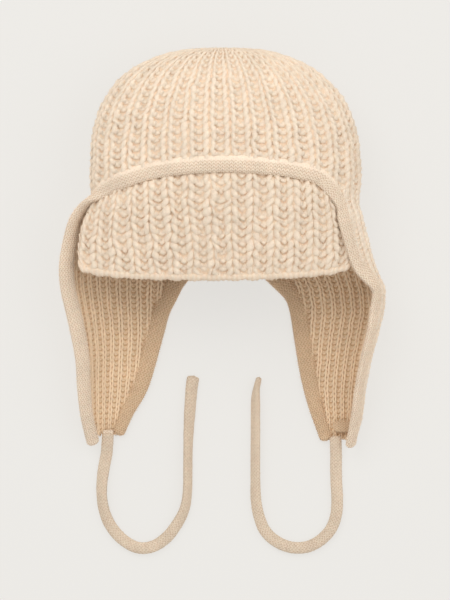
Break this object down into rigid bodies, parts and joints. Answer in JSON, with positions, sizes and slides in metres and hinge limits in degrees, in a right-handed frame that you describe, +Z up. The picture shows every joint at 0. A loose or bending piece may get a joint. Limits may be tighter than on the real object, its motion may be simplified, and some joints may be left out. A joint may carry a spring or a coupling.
{
  "type": "knitted ushanka hat",
  "caption": "Chunky rib-knit trapper hat with a soft visor, two long ear flaps, stockinette edge bands and flat knitted ties, lying on its back.",
  "frame": {"origin": "under the middle of the hat without its ties, on the surface it lies on", "axes": "+Z up from the surface, +Y from the ear flaps to the top of the crown, +X towards the ear flap that is on the right when the hat is seen from above"},
  "size_m": [0.2896, 0.4525, 0.1074],
  "materials": {
    "chunky_rib_knit": "cream wool in a chunky fisherman's rib, matt and slightly fuzzy",
    "fine_rib_knit": "cream wool in a fine one-by-one rib, matt",
    "stockinette_band": "cream wool in tight stockinette, matt",
    "knitted_tie": "cream wool, flat knitted tube, matt"
  },
  "bodies": {
    "root": {"crown": "chunky_rib_knit", "visor": "chunky_rib_knit", "ear_flap_left": "fine_rib_knit", "ear_flap_right": "fine_rib_knit", "front_band": "stockinette_band", "back_band": "stockinette_band", "tie_left": "knitted_tie", "tie_right": "knitted_tie", "tie_tack_left": "stockinette_band", "tie_tack_right": "stockinette_band"}
  },
  "joints": []
}
